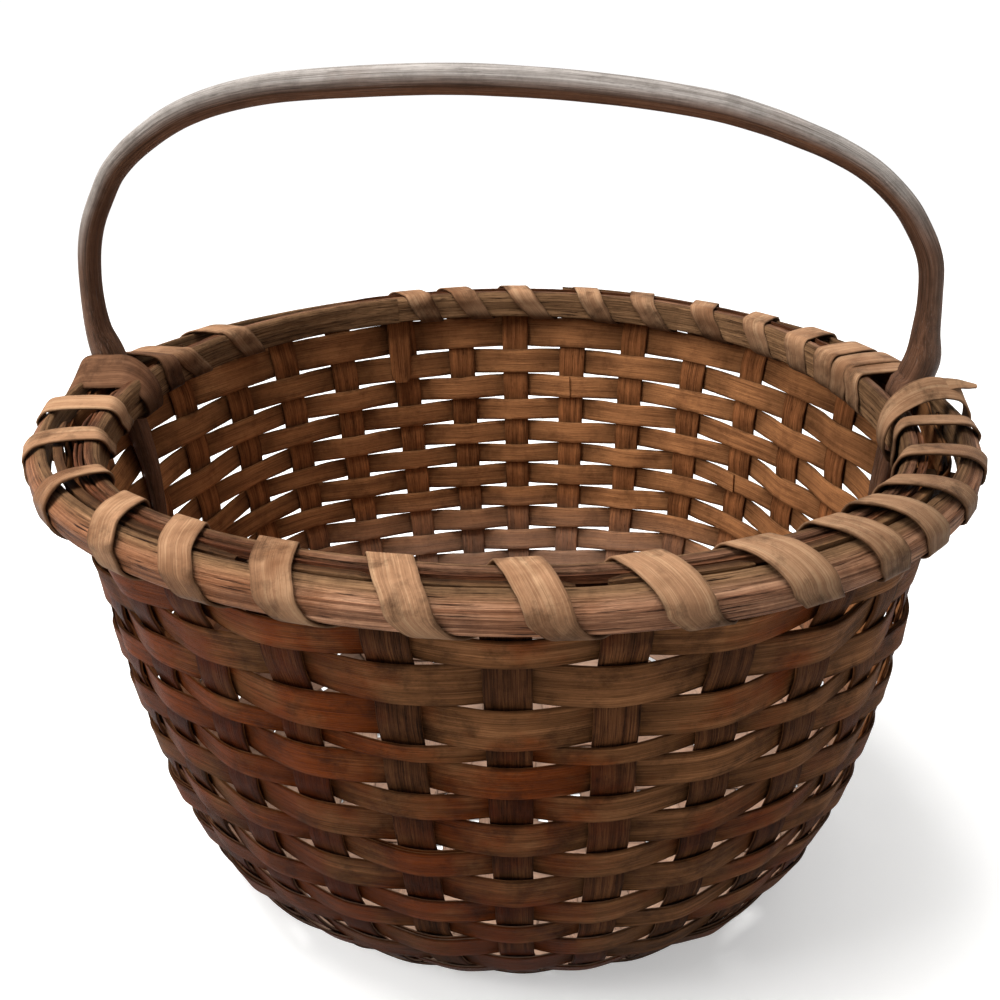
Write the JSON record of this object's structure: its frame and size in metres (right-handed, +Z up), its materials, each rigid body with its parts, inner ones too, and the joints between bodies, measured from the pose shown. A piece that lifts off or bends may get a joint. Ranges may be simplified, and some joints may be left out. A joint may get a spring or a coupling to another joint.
{
  "type": "gathering basket",
  "caption": "Round open basket plaited from flat wood splints, with a lashed double rim hoop and a fixed carved bow handle.",
  "frame": {"origin": "bottom centre of the bounding box, on the surface the basket stands on", "axes": "+Z up, +X along the handle's span towards its right foot, -Y towards the viewer of the picture"},
  "size_m": [0.3866, 0.3712, 0.3675],
  "materials": {
    "stake_splint": "dry aged splint, satin patina outside",
    "weaver_splint": "dry aged splint, satin patina outside",
    "hoop": "dry split wood, rough",
    "filler": "dry splint, rough",
    "handle": "weathered carved wood, worn smooth",
    "lashing": "dry splint, matt"
  },
  "bodies": {
    "root": {"base_splint_long_1": "stake_splint", "base_splint_long_2": "stake_splint", "base_splint_long_3": "stake_splint", "base_splint_long_4": "stake_splint", "base_splint_long_5": "stake_splint", "base_splint_long_6": "stake_splint", "base_splint_long_7": "stake_splint", "base_splint_long_8": "stake_splint", "base_splint_cross_1": "stake_splint", "base_splint_cross_2": "stake_splint", "base_splint_cross_3": "stake_splint", "base_splint_cross_4": "stake_splint", "base_splint_cross_5": "stake_splint", "base_splint_cross_6": "stake_splint", "base_splint_cross_7": "stake_splint", "weaver_rim": "weaver_splint", "weaver_01": "weaver_splint", "weaver_02": "weaver_splint", "weaver_03": "weaver_splint", "weaver_04": "weaver_splint", "weaver_05": "weaver_splint", "weaver_06": "weaver_splint", "weaver_07": "weaver_splint", "weaver_08": "weaver_splint", "weaver_09": "weaver_splint", "weaver_10": "weaver_splint", "weaver_11": "weaver_splint", "weaver_12": "weaver_splint", "weaver_13": "weaver_splint", "weaver_14": "weaver_splint", "weaver_15": "weaver_splint", "weaver_16": "weaver_splint", "weaver_17": "weaver_splint", "weaver_18": "weaver_splint", "outer_hoop": "hoop", "inner_hoop": "hoop", "filler_splint_front": "filler", "filler_splint_back": "filler", "handle": "handle", "lashing_left": "lashing", "lashing_front": "lashing", "lashing_back": "lashing"}
  },
  "joints": []
}
